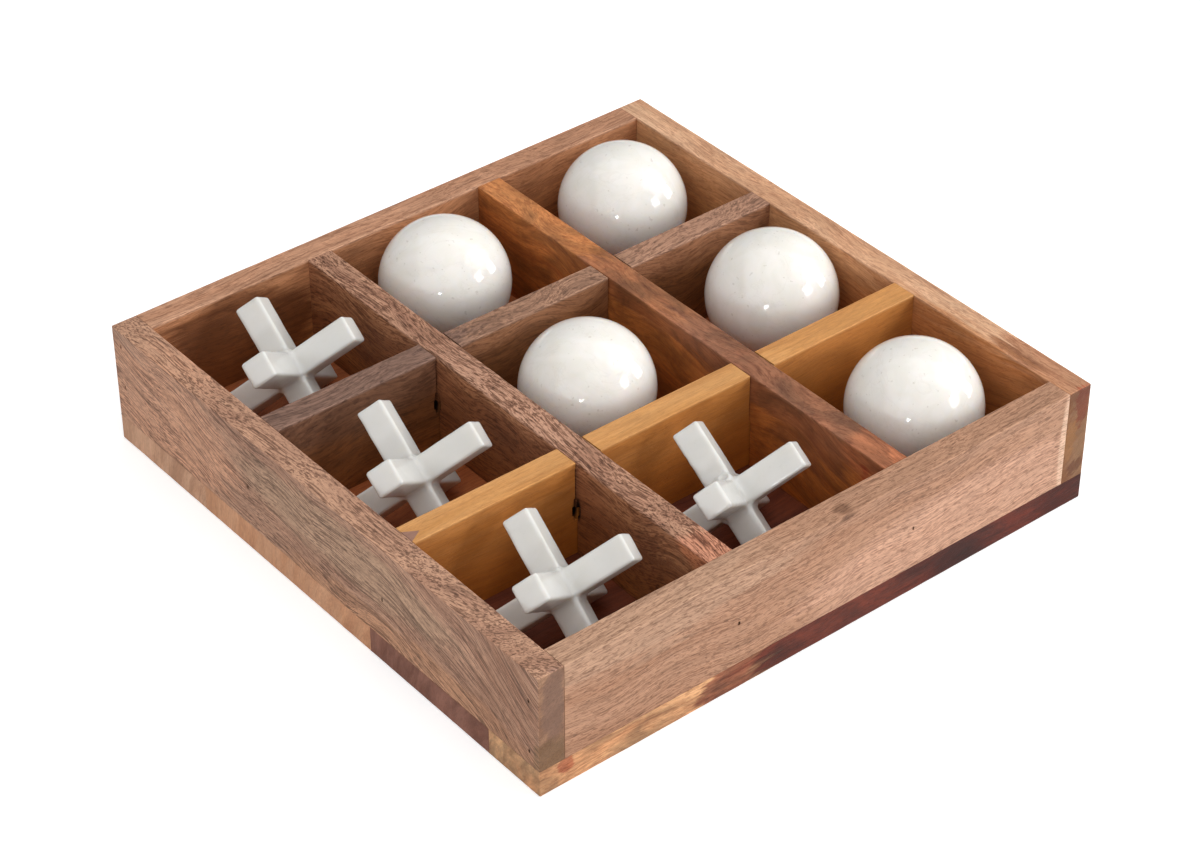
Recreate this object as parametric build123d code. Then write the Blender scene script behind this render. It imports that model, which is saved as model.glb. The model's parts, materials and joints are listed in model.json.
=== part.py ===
from build123d import *

# A tic tac toe set: a wooden tray of nine open cells, with five stone balls and four stone jacks in it.
# Millimetres. +Z is up. The origin is the centre of the tray's underside, and the front wall faces -Y.
# The tray is an edge-glued base of six planks that run along X, four walls standing on it, and four
# dividers that cross in half-lap joints. The two side walls run the full depth, and the front and back
# walls butt between them. Steel brads pin every butt joint.

import os
from math import atan, cos, radians, sin, sqrt

# Tray
TRAY_SIDE = 300.0
TRAY_HEIGHT = 61.0
BASE_THICKNESS = 13.0
BOARD_THICKNESS = 12.7
CELLS_PER_SIDE = 3
LAP_CLEARANCE = 0.5  # gap on each side of a divider in the notch of the divider that it crosses
PLANK_WIDTHS = (32.5, 24.0, 55.5, 20.0, 101.0, 67.0)  # from the front to the back, adding up to the side

# Playing pieces
BALL_DIAMETER = 61.0
JACK_SPAN = 70.5  # from arm tip to arm tip
JACK_BAR = 12.4  # side of the square bars
JACK_CHAMFER = 0.5

# Brads: flat wire nails with a T head, set just below the surface
BRAD_LENGTH = 26.0
BRAD_WIRE = (1.25, 1.05)
BRAD_HEAD = (2.0, 1.05)
BRAD_HEAD_DEPTH = 0.8
BRAD_SINK = 0.4
FRONT_CORNER_BRAD_HEIGHTS = (20.0, 46.0)
BACK_CORNER_BRAD_HEIGHTS = (31.0, 53.0)
DIVIDER_BRAD_HEIGHT = 34.0

# Worked out from the above
HALF_SIDE = TRAY_SIDE / 2
WALL_HEIGHT = TRAY_HEIGHT - BASE_THICKNESS
CELL = (TRAY_SIDE - (CELLS_PER_SIDE + 1) * BOARD_THICKNESS) / CELLS_PER_SIDE
PITCH = CELL + BOARD_THICKNESS  # from one cell to the next
INNER_SIDE = TRAY_SIDE - 2 * BOARD_THICKNESS
WALL_MIDDLE = HALF_SIDE - BOARD_THICKNESS / 2  # from the centre to the middle of a wall's thickness
DIVIDER_MIDDLE = PITCH / 2  # from the centre to the middle of a divider's thickness
LAP_LEVEL = BASE_THICKNESS + WALL_HEIGHT / 2  # height at which crossing dividers bear on each other
ARM_RISE = atan(1 / sqrt(2))  # how steeply the raised arms rise when the other three stand on the floor

# Each piece: column from the left, row from the front, and how far it sits from the cell's centre.
BALLS = {
    "ball_centre": (1, 1, (-2.5, 2.5)),
    "ball_back_middle": (1, 2, (-1.5, 10.5)),
    "ball_back_right": (2, 2, (5.0, 8.0)),
    "ball_middle_right": (2, 1, (10.5, 4.5)),
    "ball_front_right": (2, 0, (2.0, -1.5)),
}
# A jack also has the compass angle of one raised arm, in degrees from +X towards +Y.
JACKS = {
    "jack_front_left": (0, 0, (1.0, 1.5), -153.0),
    "jack_middle_left": (0, 1, (-0.5, 2.0), -151.0),
    "jack_back_left": (0, 2, (2.5, 1.5), -151.0),
    "jack_front_middle": (1, 0, (-2.5, 2.5), -149.0),
}


def block(x_range, y_range, z_range):
    """A box given by its lowest and highest value along each axis."""
    corner = (x_range[0], y_range[0], z_range[0])
    size = (x_range[1] - x_range[0], y_range[1] - y_range[0], z_range[1] - z_range[0])
    return Pos(*corner) * Box(*size, align=Align.MIN)


def around(middle, width):
    """The lowest and highest value of something of a given width around its middle."""
    return (middle - width / 2, middle + width / 2)


def downward_bar(section, length, top):
    """A bar of a given section that hangs down from a height of top on the Z axis."""
    return Pos(0, 0, top) * Box(*section, length, align=(Align.CENTER, Align.CENTER, Align.MAX))


def brad_body():
    """A brad driven down through z = 0, with the top of its head just below that surface."""
    head = downward_bar(BRAD_HEAD, BRAD_HEAD_DEPTH, -BRAD_SINK)
    wire = downward_bar(BRAD_WIRE, BRAD_LENGTH - BRAD_HEAD_DEPTH, -BRAD_SINK - BRAD_HEAD_DEPTH)
    return head + wire


def brad_pocket():
    """What a driven brad leaves in the wood: its own shape, open up to the surface above its head."""
    return brad_body() + downward_bar(BRAD_HEAD, BRAD_SINK, 0)


def corner_brad_spots():
    """Depth and height of the brads that hold the front and back walls between the side walls."""
    front = [(-WALL_MIDDLE, height) for height in FRONT_CORNER_BRAD_HEIGHTS]
    back = [(WALL_MIDDLE, height) for height in BACK_CORNER_BRAD_HEIGHTS]
    return front + back


def divider_brad_spots():
    """Place along a wall, and height, of the brads that hold the ends of the dividers."""
    return [(-DIVIDER_MIDDLE, DIVIDER_BRAD_HEIGHT), (DIVIDER_MIDDLE, DIVIDER_BRAD_HEIGHT)]


def plank_edges():
    """Where the planks of the base start and end, from the front edge to the back edge."""
    edges = [-HALF_SIDE]
    for width in PLANK_WIDTHS:
        edges.append(edges[-1] + width)
    return edges


def base_brad_planes():
    """One brad through each end of each plank into the side walls, and two into the front and back walls."""
    edges = plank_edges()
    spots = []
    for start, end in zip(edges[:-1], edges[1:]):
        spots += [(-WALL_MIDDLE, (start + end) / 2), (WALL_MIDDLE, (start + end) / 2)]
    for y in (-WALL_MIDDLE, WALL_MIDDLE):
        spots += [(-PITCH, y), (PITCH, y)]
    return [Plane(origin=(x, y, 0), x_dir=(0, 1, 0), z_dir=(0, 0, -1)) for x, y in spots]


def brad_planes():
    """For each brad node, the planes that its brads are driven through, facing out of the wood."""
    side_spots = corner_brad_spots() + divider_brad_spots()
    planes = {"base_brads": base_brad_planes()}
    for name, side in (("left_wall_brads", -1), ("right_wall_brads", 1)):
        planes[name] = [
            Plane(origin=(side * HALF_SIDE, y, z), x_dir=(0, 0, 1), z_dir=(side, 0, 0)) for y, z in side_spots
        ]
    for name, side in (("front_wall_brads", -1), ("back_wall_brads", 1)):
        planes[name] = [
            Plane(origin=(x, side * HALF_SIDE, z), x_dir=(0, 0, 1), z_dir=(0, side, 0))
            for x, z in divider_brad_spots()
        ]
    return planes


def base_planks():
    """Six planks, edge to edge, each as long as the tray is wide."""
    edges = plank_edges()
    planks = {}
    for number, (start, end) in enumerate(zip(edges[:-1], edges[1:]), 1):
        planks[f"base_plank_{number}"] = block((-HALF_SIDE, HALF_SIDE), (start, end), (0, BASE_THICKNESS))
    return planks


def walls():
    """Two side walls of the full depth, with the front and back walls butted between them."""
    inner = (-INNER_SIDE / 2, INNER_SIDE / 2)
    full = (-HALF_SIDE, HALF_SIDE)
    height = (BASE_THICKNESS, TRAY_HEIGHT)
    low = around(-WALL_MIDDLE, BOARD_THICKNESS)
    high = around(WALL_MIDDLE, BOARD_THICKNESS)
    return {
        "left_wall": block(low, full, height),
        "right_wall": block(high, full, height),
        "front_wall": block(inner, low, height),
        "back_wall": block(inner, high, height),
    }


def dividers():
    """Two long dividers, notched from below, over two cross dividers, notched from above."""
    inner = (-INNER_SIDE / 2, INNER_SIDE / 2)
    height = (BASE_THICKNESS, TRAY_HEIGHT)
    notch = BOARD_THICKNESS + 2 * LAP_CLEARANCE
    middles = (-DIVIDER_MIDDLE, DIVIDER_MIDDLE)
    boards = {}
    for name, x in zip(("long_divider_left", "long_divider_right"), middles):
        board = block(around(x, BOARD_THICKNESS), inner, height)
        for y in middles:
            board -= block(around(x, BOARD_THICKNESS), around(y, notch), (BASE_THICKNESS, LAP_LEVEL))
        boards[name] = board
    for name, y in zip(("cross_divider_front", "cross_divider_back"), middles):
        board = block(inner, around(y, BOARD_THICKNESS), height)
        for x in middles:
            board -= block(around(x, notch), around(y, BOARD_THICKNESS), (LAP_LEVEL, TRAY_HEIGHT))
        boards[name] = board
    return boards


def cell_centre(column, row, offset):
    """The point above which a piece sits, in the plane of the tray."""
    return ((column - 1) * PITCH + offset[0], (row - 1) * PITCH + offset[1])


def ball(column, row, offset):
    """A ball resting on the floor of its cell."""
    x, y = cell_centre(column, row, offset)
    return Pos(x, y, BASE_THICKNESS + BALL_DIAMETER / 2) * Sphere(BALL_DIAMETER / 2)


def jack_shape():
    """Three equal square bars crossing at their middles, with chamfered edges."""
    bar = Box(JACK_SPAN, JACK_BAR, JACK_BAR)
    bar = chamfer(bar.edges(), JACK_CHAMFER)
    return bar + Rot(0, 0, 90) * bar + Rot(0, 90, 0) * bar


def raised_arm(angle):
    """The direction of an arm that rises at a compass angle, on a jack standing on its other three tips."""
    flat = cos(ARM_RISE)
    return (flat * cos(radians(angle)), flat * sin(radians(angle)), sin(ARM_RISE))


def jack(column, row, offset, angle):
    """A jack standing on three arm tips, with its other three arms raised and 120 degrees apart."""
    x, y = cell_centre(column, row, offset)
    # The chamfers cut each corner of a tip flat, and a jack stands on three of those small flats.
    foot = (JACK_SPAN / 2 + JACK_BAR - 2 * JACK_CHAMFER) / sqrt(3)
    stance = Plane(
        origin=(x, y, BASE_THICKNESS + foot),
        x_dir=raised_arm(angle),
        z_dir=raised_arm(angle + 240),
    )
    return stance.location * jack_shape()


def nailed(board, pockets):
    """The board with room for every brad that runs into it."""
    box = board.bounding_box()
    for pocket in pockets:
        reach = pocket.bounding_box()
        apart = (
            reach.max.X < box.min.X
            or reach.min.X > box.max.X
            or reach.max.Y < box.min.Y
            or reach.min.Y > box.max.Y
            or reach.max.Z < box.min.Z
            or reach.min.Z > box.max.Z
        )
        if not apart:
            board -= pocket
    return board


def all_nodes():
    """Every node of the set by name."""
    planes = brad_planes()
    pockets = [plane.location * brad_pocket() for group in planes.values() for plane in group]
    boards = {**base_planks(), **walls(), **dividers()}
    nodes = {name: nailed(board, pockets) for name, board in boards.items()}
    for name, group in planes.items():
        nodes[name] = Compound(children=[plane.location * brad_body() for plane in group])
    nodes.update({name: ball(*place) for name, place in BALLS.items()})
    nodes.update({name: jack(*place) for name, place in JACKS.items()})
    return nodes


os.makedirs("parts", exist_ok=True)
for node_name, node_shape in all_nodes().items():
    export_step(node_shape, f"parts/{node_name}.step")
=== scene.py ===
# A tic tac toe set in its tray: boards of mixed hardwood, polished marble balls and marble jacks.
# The frame gives every place and size. Meshes are worked out in millimetres and stored in metres.

import json
import math
import random

import bpy
import numpy as np
from mathutils import Euler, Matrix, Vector, noise

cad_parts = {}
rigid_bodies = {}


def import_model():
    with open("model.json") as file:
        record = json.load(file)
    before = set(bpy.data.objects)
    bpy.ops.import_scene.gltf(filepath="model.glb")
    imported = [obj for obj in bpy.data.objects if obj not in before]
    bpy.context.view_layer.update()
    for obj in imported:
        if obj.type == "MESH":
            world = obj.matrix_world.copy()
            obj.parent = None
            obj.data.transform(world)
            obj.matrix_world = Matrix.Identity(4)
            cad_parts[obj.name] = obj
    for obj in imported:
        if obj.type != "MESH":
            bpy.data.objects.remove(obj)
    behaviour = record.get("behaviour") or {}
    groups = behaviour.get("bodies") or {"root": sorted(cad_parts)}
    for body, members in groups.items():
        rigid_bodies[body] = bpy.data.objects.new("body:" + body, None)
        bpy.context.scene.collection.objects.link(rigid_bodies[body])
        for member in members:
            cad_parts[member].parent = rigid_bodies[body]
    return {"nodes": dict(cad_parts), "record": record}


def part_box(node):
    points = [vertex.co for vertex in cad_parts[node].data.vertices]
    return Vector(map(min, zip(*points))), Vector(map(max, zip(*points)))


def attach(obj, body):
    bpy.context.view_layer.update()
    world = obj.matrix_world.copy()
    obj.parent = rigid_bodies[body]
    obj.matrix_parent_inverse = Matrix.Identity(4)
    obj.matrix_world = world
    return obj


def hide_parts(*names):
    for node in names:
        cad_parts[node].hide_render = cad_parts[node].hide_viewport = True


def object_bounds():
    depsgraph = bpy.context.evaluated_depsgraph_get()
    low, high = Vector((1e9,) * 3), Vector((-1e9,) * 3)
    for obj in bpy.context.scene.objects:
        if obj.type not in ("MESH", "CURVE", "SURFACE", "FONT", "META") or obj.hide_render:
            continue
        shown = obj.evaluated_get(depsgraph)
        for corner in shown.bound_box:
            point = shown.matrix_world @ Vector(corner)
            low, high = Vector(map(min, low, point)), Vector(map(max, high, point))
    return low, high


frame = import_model()
cad_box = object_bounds()

MM = 0.001
X, Y, Z = 0, 1, 2
LOW, HIGH = 0, 1

# How solids are cut into faces
EDGE_OFFSETS = (0.0, 0.12, 0.3, 0.5, 0.8, 1.4)  # distances from an edge at which its rounding is cut
STEP_ALONG = 2.4  # length of the faces along a board
STEP_ACROSS = 3.0  # and across it
BALL_CELLS = 44  # faces along each side of the cube that a ball is blown up from
JACK_STEP = 1.0
BOARD_CREASE = 32.0  # degrees between faces above which a shaded edge is sharp
JACK_CREASE = 40.0
NO_CREASE = 180.0

# Small distances
TINY = 1e-9  # keeps a division by a length from failing
LEAST_MOVE = 1e-6  # a shorter move counts as none
ROUNDING = 1e-4  # how far off the places are that solids are cut at
ON_PLANE = 1e-3  # a point this close to a face is on it
CLOSE = 0.1  # places this close together count as one
OUTSIDE = 1.0  # how far a box that is cut out of a board sticks out of it
OVERLAP = 0.1  # how far it runs on into the board beside it

# How boards are finished
EASED = 0.45  # radius of an edge that hands can reach
JOINTED = 0.12  # radius of an edge that meets another board
WANDER = 0.35  # share by which the radius of an edge wanders
BOARD_EDGE_WAVE = 9.0  # length over which it does
WORN_REACH = 0.9  # how far from an eased edge its wear and painted highlight fade
FAR = 99.0  # stands for the distance from an edge that isn't eased
SANDING = 0.07  # how far sanding leaves a face below its true plane
SANDING_WAVE = 22.0
LAP_CLEARANCE = 0.5  # gap on each side of a divider in its notch
SHALLOW = 1.0  # the head of a brad lies less than this below the face that it was driven through

# Painted shade inside the cells of the tray, deepest at their foot, and how strong it is
WALL_FOOT_SHADE = (0.82, 0.54, 0.23)  # painted shade at the foot of a cell's walls
# painted shade on the floor of a cell
CELL_FLOOR_SHADE = (0.58, 0.31, 0.16)
SHADE_AT_TOP = 0.5  # the share of that at the top of a cell
WALL_SKIN = 6.0  # the outer part of a wall, which gets no painted shade from the cells
TOP_SKIN = 1.2  # and the part below its top

# How grain wanders
DRIFT_REACH = 160.0  # half the length over which drift is worked out
DRIFT_SAMPLES = 129
DRIFT_SMOOTHING = 17  # samples that each one is averaged over
CURL_SIZE = 34.0
LEAN_SIZE = 50.0
BOARDS_APART = 41.0  # keeps each board's figure apart from the others'
BALLS_APART = 83.0
JACKS_APART = 61.0
SEED_SHIFT = (17.3, 5.1, 29.7)  # how far each seed moves its noise


# ---------------------------------------------------------------------------------------------------
# Meshes


def cuts(sharp, step, plain=()):
    """Places to cut along one axis: close together beside each sharp place, and evenly between them."""
    places = set(plain)
    for start, end in zip(sharp[:-1], sharp[1:]):
        for offset in EDGE_OFFSETS:
            if offset < (end - start) / 2:
                places |= {start + offset, end - offset}
        first = start + EDGE_OFFSETS[-1]
        span = end - EDGE_OFFSETS[-1] - first
        count = max(1, round(span / step))
        places |= {first + span * number / count for number in range(1, count)}
    return np.unique(np.round(sorted(places), 4))


def shell(lines, filled):
    """The points and outward quads that enclose the filled cells of a grid."""
    counts = [len(line) for line in lines]
    padded = np.pad(filled, 1)
    quads = []
    for axis in range(3):
        across, up = (axis + 1) % 3, (axis + 2) % 3
        for side, neighbour in ((0, 1), (1, -1)):
            cells = np.argwhere(padded & ~np.roll(padded, neighbour, axis)) - 1
            ring = ((0, 0), (1, 0), (1, 1), (0, 1)) if side else ((0, 0), (0, 1), (1, 1), (1, 0))
            corners = []
            for step_across, step_up in ring:
                corner = cells.copy()
                corner[:, axis] += side
                corner[:, across] += step_across
                corner[:, up] += step_up
                corners.append(np.ravel_multi_index(corner.T, counts))
            quads.append(np.stack(corners, axis=1))
    quads = np.concatenate(quads)
    used, quads = np.unique(quads, return_inverse=True)
    places = np.unravel_index(used, counts)
    points = np.stack([line[place] for line, place in zip(lines, places)], axis=1)
    return points, quads.reshape(-1, 4)


def filled_cells(lines, hollows):
    """Which cells of a grid are solid, given the boxes cut out of it."""
    middles = [(line[:-1] + line[1:]) / 2 for line in lines]
    filled = np.ones([len(middle) for middle in middles], dtype=bool)
    for low, high in hollows:
        inside = [(middle > low[axis]) & (middle < high[axis]) for axis, middle in enumerate(middles)]
        filled[np.ix_(*inside)] = False
    return filled


def waves(points, size, seed):
    """Smooth noise between -1 and 1 at each point, with features of a given size in millimetres."""
    shift = Vector([seed * step for step in SEED_SHIFT])
    return np.array([noise.noise(Vector(point) / size + shift) for point in points])


def mesh_object(name, points, quads, fields, material, crease):
    """An object in metres from points in millimetres, with vector fields stored on its points."""
    mesh = bpy.data.meshes.new(name)
    mesh.from_pydata((points * MM).tolist(), [], quads.tolist())
    for field, values in fields.items():
        layer = mesh.attributes.new(field, "FLOAT_VECTOR", "POINT")
        layer.data.foreach_set("vector", values.astype(np.float32).ravel())
    mesh.shade_smooth()
    mesh.set_sharp_from_angle(angle=math.radians(crease))
    mesh.materials.append(material)
    made = bpy.data.objects.new(name, mesh)
    bpy.context.collection.objects.link(made)
    return made


def box_mm(node):
    """The lowest and highest corner of a CAD node in millimetres."""
    low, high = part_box(node)
    return np.array(low) / MM, np.array(high) / MM


def solid_boxes(node):
    """The lowest and highest corner, in millimetres, of each separate solid in a CAD node."""
    mesh = frame["nodes"][node].data
    group = list(range(len(mesh.vertices)))

    def root(index):
        while group[index] != index:
            group[index] = group[group[index]]
            index = group[index]
        return index

    by_place = {}
    for vertex in mesh.vertices:
        place = tuple(round(value, 6) for value in vertex.co)
        group[root(vertex.index)] = root(by_place.setdefault(place, vertex.index))
    for edge in mesh.edges:
        group[root(edge.vertices[0])] = root(edge.vertices[1])
    solids = {}
    for vertex in mesh.vertices:
        solids.setdefault(root(vertex.index), []).append(vertex.co)
    return [(np.min(places, axis=0) / MM, np.max(places, axis=0) / MM) for places in solids.values()]


# ---------------------------------------------------------------------------------------------------
# Boards

tray_low, tray_high = np.array(cad_box[0]) / MM, np.array(cad_box[1]) / MM
tray_floor = box_mm("left_wall")[0][Z]
tray_wall_top = box_mm("left_wall")[1][Z]


class Board:
    """One board: its CAD node, the axes of its length, width and thickness, and how its wood grew."""

    def __init__(self, node, along, wide, growth, eased, hollows=()):
        self.node = node
        self.along = along
        self.wide = wide
        self.thick = 3 - along - wide
        self.growth = growth
        self.eased = eased
        self.hollows = hollows
        self.low, self.high = box_mm(node)
        self.seed = sum(ord(letter) for letter in node) % 97

    def own(self, points):
        """Length from the middle, width from the low side, and thickness from the middle."""
        middle = (self.low + self.high) / 2
        length = points[:, self.along] - middle[self.along]
        width = points[:, self.wide] - self.low[self.wide]
        depth = points[:, self.thick] - middle[self.thick]
        return length, width, depth


class Growth:
    """How the grain of a board runs.

    pith is the place of the tree's heart from the board's low side and middle, in millimetres.
    drift is how far the grain has wandered across the width at places along the board.
    sway is the height and length of waves in the grain, and curl is how strongly it swirls.
    """

    def __init__(self, pith, *, sway, curl, drift=((-150, 0), (150, 0))):
        self.pith = pith
        self.drift = drift
        self.sway = sway
        self.curl = curl

    def layers(self, board, points):
        """Grain coordinates of each point: along the grain, through the rings, and around the rings."""
        length, width, depth = board.own(points)
        places, offsets = zip(*self.drift)
        reach = np.linspace(-DRIFT_REACH, DRIFT_REACH, DRIFT_SAMPLES)
        padded = np.pad(np.interp(reach, places, offsets), DRIFT_SMOOTHING // 2, "edge")
        smooth = np.convolve(padded, np.ones(DRIFT_SMOOTHING) / DRIFT_SMOOTHING, "valid")
        height, period = self.sway
        swirl = waves(points, CURL_SIZE, board.seed) * self.curl
        wandered = width - np.interp(length, reach, smooth) - swirl
        wandered -= height * np.sin(length * 2 * math.pi / period + board.seed)
        from_pith = wandered - self.pith[0]
        behind = depth - self.pith[1] + waves(points, LEAN_SIZE, board.seed + 3) * self.curl
        ring = np.hypot(from_pith, behind)
        around = np.arctan2(from_pith, behind) * abs(self.pith[1])
        offset = board.seed * BOARDS_APART
        return np.stack([length + offset, ring + offset, around + offset], axis=1)


def face_easing(board):
    """The largest radius that each face of a board allows along its edges, as a low and a high row."""
    easing = np.full((2, 3), JOINTED)
    for axis, side in board.eased:
        easing[side, axis] = EASED
    return easing


def round_edges(board, points):
    """Points near an edge are pulled in onto a rounding whose radius wanders where the edge is more or less
    worn.
    """
    easing = face_easing(board)
    gaps = np.stack([points - board.low, board.high - points])
    nearest = gaps.min(axis=0)
    allowed = np.where(gaps[0] < gaps[1], easing[0], easing[1])
    order = np.argsort(nearest, axis=1)[:, :2]
    radius = np.take_along_axis(allowed, order, axis=1).min(axis=1)
    radius *= 1 + WANDER * waves(points, BOARD_EDGE_WAVE, board.seed)
    radius = radius[:, None]
    core = np.clip(points, board.low + radius, board.high - radius)
    away = points - core
    reach = np.linalg.norm(away, axis=1, keepdims=True)
    on_surface = nearest.min(axis=1) < ON_PLANE
    beside_edge = ((np.abs(away) > LEAST_MOVE).sum(axis=1) > 1) & on_surface
    moved = np.where(beside_edge[:, None], core + away * radius / np.maximum(reach, TINY), points)
    outward = np.where(on_surface[:, None], away / np.maximum(reach, TINY), 0)
    return moved, outward


def edge_nearness(board, points):
    """How close each point is to an eased edge, from 0 to 1."""
    eased = face_easing(board)[:, None, :] > JOINTED
    gaps = np.where(eased, np.stack([points - board.low, board.high - points]), FAR)
    nearest, next_nearest, _ = np.sort(gaps.min(axis=0), axis=1).T
    return np.exp(-next_nearest / WORN_REACH) * (nearest < EASED)


def cell_shading(points):
    """How much painted shade each point gets, from 0 outside the cells of the tray to 1 at their foot."""
    middle = (tray_low + tray_high) / 2
    reach = np.abs(points - middle)[:, :2].max(axis=1)
    within = reach < (tray_high - middle)[X] - WALL_SKIN
    on_top = points[:, Z] > tray_wall_top - TOP_SKIN
    above_floor = points[:, Z] > tray_floor - CLOSE
    sunk = (tray_wall_top - points[:, Z]) / (tray_wall_top - tray_floor)
    return (within & ~on_top & above_floor) * (SHADE_AT_TOP + (1 - SHADE_AT_TOP) * sunk)


def build_board(board):
    """The board's mesh, cut out for notches and brad heads, with eased edges, and fields of its grain and
    of its worn edges, end grain and painted shade inside the cells.
    """
    hollows = list(board.hollows) + brad_recesses(board)
    lines = []
    for axis in range(3):
        ends = (board.low[axis], board.high[axis])
        plain = [place[axis] for hollow in hollows for place in hollow if ends[0] < place[axis] < ends[1]]
        lines.append(cuts(ends, STEP_ALONG if axis == board.along else STEP_ACROSS, plain))
    points, quads = shell(lines, filled_cells(lines, hollows))
    grain = board.growth.layers(board, points)
    own = np.stack(board.own(points), axis=1)
    length = points[:, board.along]
    start, finish = board.low[board.along], board.high[board.along]
    at_end = (length < start + ON_PLANE) | (length > finish - ON_PLANE)
    # nearness to an eased edge, end grain, and the painted shade inside the cells
    edge_end_and_shade = np.stack([edge_nearness(board, points), at_end.astype(float), cell_shading(points)], axis=1)
    moved, outward = round_edges(board, points)
    moved -= outward * (SANDING * (0.5 + 0.5 * waves(points, SANDING_WAVE, board.seed + 7)))[:, None]
    fields = {"grain": grain, "own": own, "edge_end_and_shade": edge_end_and_shade}
    made = mesh_object(f"{board.node}_wood", moved, quads, fields, WOODS[board.node], BOARD_CREASE)
    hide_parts(board.node)
    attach(made, TRAY)


def brad_recesses(board):
    """The shallow box above each brad head that is sunk into this board."""
    recesses = []
    for low, high in BRADS:
        for axis in range(3):
            others = [other for other in range(3) if other != axis]
            if any(low[other] < board.low[other] or high[other] > board.high[other] for other in others):
                continue
            if 0 < low[axis] - board.low[axis] < SHALLOW:
                top = high.copy()
                top[axis] = low[axis]
                bottom = low.copy()
                bottom[axis] = board.low[axis] - OUTSIDE
                recesses.append((bottom, top))
            if 0 < board.high[axis] - high[axis] < SHALLOW:
                bottom = low.copy()
                bottom[axis] = high[axis]
                top = high.copy()
                top[axis] = board.high[axis] + OUTSIDE
                recesses.append((bottom, top))
    return recesses


# ---------------------------------------------------------------------------------------------------
# Materials


class Graph:
    """Adds nodes to a tree and links them, so that a material reads from top to bottom."""

    def __init__(self, tree):
        self.tree = tree

    def add(self, kind, **settings):
        made = self.tree.nodes.new(kind)
        for setting, value in settings.items():
            setattr(made, setting, value)
        return made

    def feed(self, socket, value):
        if isinstance(value, bpy.types.NodeSocket):
            self.tree.links.new(value, socket)
        elif isinstance(value, (int, float)):
            socket.default_value = value
        else:
            socket.default_value = (*value, 1.0)[: len(socket.default_value)]

    def field(self, name):
        return self.add("ShaderNodeAttribute", attribute_name=name).outputs["Vector"]

    def split(self, vector):
        made = self.add("ShaderNodeSeparateXYZ")
        self.feed(made.inputs[0], vector)
        return made.outputs

    def maths(self, operation, first, second=0.0):
        made = self.add("ShaderNodeMath", operation=operation)
        self.feed(made.inputs[0], first)
        self.feed(made.inputs[1], second)
        return made.outputs[0]

    def stretch(self, vector, scales, shift=(0.0, 0.0, 0.0)):
        made = self.add("ShaderNodeVectorMath", operation="MULTIPLY_ADD")
        self.feed(made.inputs[0], vector)
        self.feed(made.inputs[1], scales)
        self.feed(made.inputs[2], shift)
        return made.outputs[0]

    def length(self, vector):
        made = self.add("ShaderNodeVectorMath", operation="LENGTH")
        self.feed(made.inputs[0], vector)
        return made.outputs["Value"]

    def noise(self, vector, detail, roughness, distortion=0.0):
        made = self.add("ShaderNodeTexNoise")
        self.feed(made.inputs["Vector"], vector)
        self.feed(made.inputs["Scale"], 1.0)
        self.feed(made.inputs["Detail"], detail)
        self.feed(made.inputs["Roughness"], roughness)
        self.feed(made.inputs["Distortion"], distortion)
        return made.outputs["Fac"]

    def fade(self, value, start, end, low=0.0, high=1.0):
        made = self.add("ShaderNodeMapRange", interpolation_type="SMOOTHSTEP")
        for socket, given in zip(made.inputs, (value, start, end, low, high)):
            self.feed(socket, given)
        return made.outputs[0]

    def blend(self, factor, first, second, how="MIX"):
        made = self.add("ShaderNodeMix", data_type="RGBA", blend_type=how)
        self.feed(made.inputs[0], factor)
        self.feed(made.inputs[6], first)
        self.feed(made.inputs[7], second)
        return made.outputs[2]

    def bump(self, height, distance, strength):
        made = self.add("ShaderNodeBump")
        self.feed(made.inputs["Height"], height)
        self.feed(made.inputs["Distance"], distance)
        self.feed(made.inputs["Strength"], strength)
        return made.outputs["Normal"]


def paint(red, green, blue):
    """A colour as a screen shows it, from 0 to 255, turned into light."""
    return tuple((channel / 255) ** 2.2 for channel in (red, green, blue))


def new_material(name):
    """An empty node material with its Principled shader."""
    material = bpy.data.materials.new(name)
    material.use_nodes = True
    return material, Graph(material.node_tree), material.node_tree.nodes["Principled BSDF"]


# How fine each kind of figure is, along the grain, through the rings and around them
STREAK = (0.012, 0.42, 0.34)
HAIR = (0.030, 1.05, 1.05)
DASH = (0.20, 1.05, 1.05)
PORE = (0.3, 2.2, 2.2)
FIBRE = (0.08, 2.4, 2.4)
MOTTLE = (0.045, 0.13, 0.13)
FIGURE_ALONG = 0.005
FIGURE_AROUND = 0.8  # as a share of how fine the bands are through the rings

FRAYING = 1.6  # how far a zone's border wanders along the grain
TOP_BAND = (47.0, 47.6)  # heights on a divider between which its top edge starts
CLUSTERING = 0.25  # how much hairs and dashes gather in patches
CALM_END = 0.35  # the share of the marks that shows on end grain
CALM_CELL = 0.6  # and in the painted shade at the foot of a cell
EDGE_WEAR_AND_HIGHLIGHT = 1.1  # how much lighter an eased edge is: partly wear, partly a painted highlight along its rounding


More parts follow.
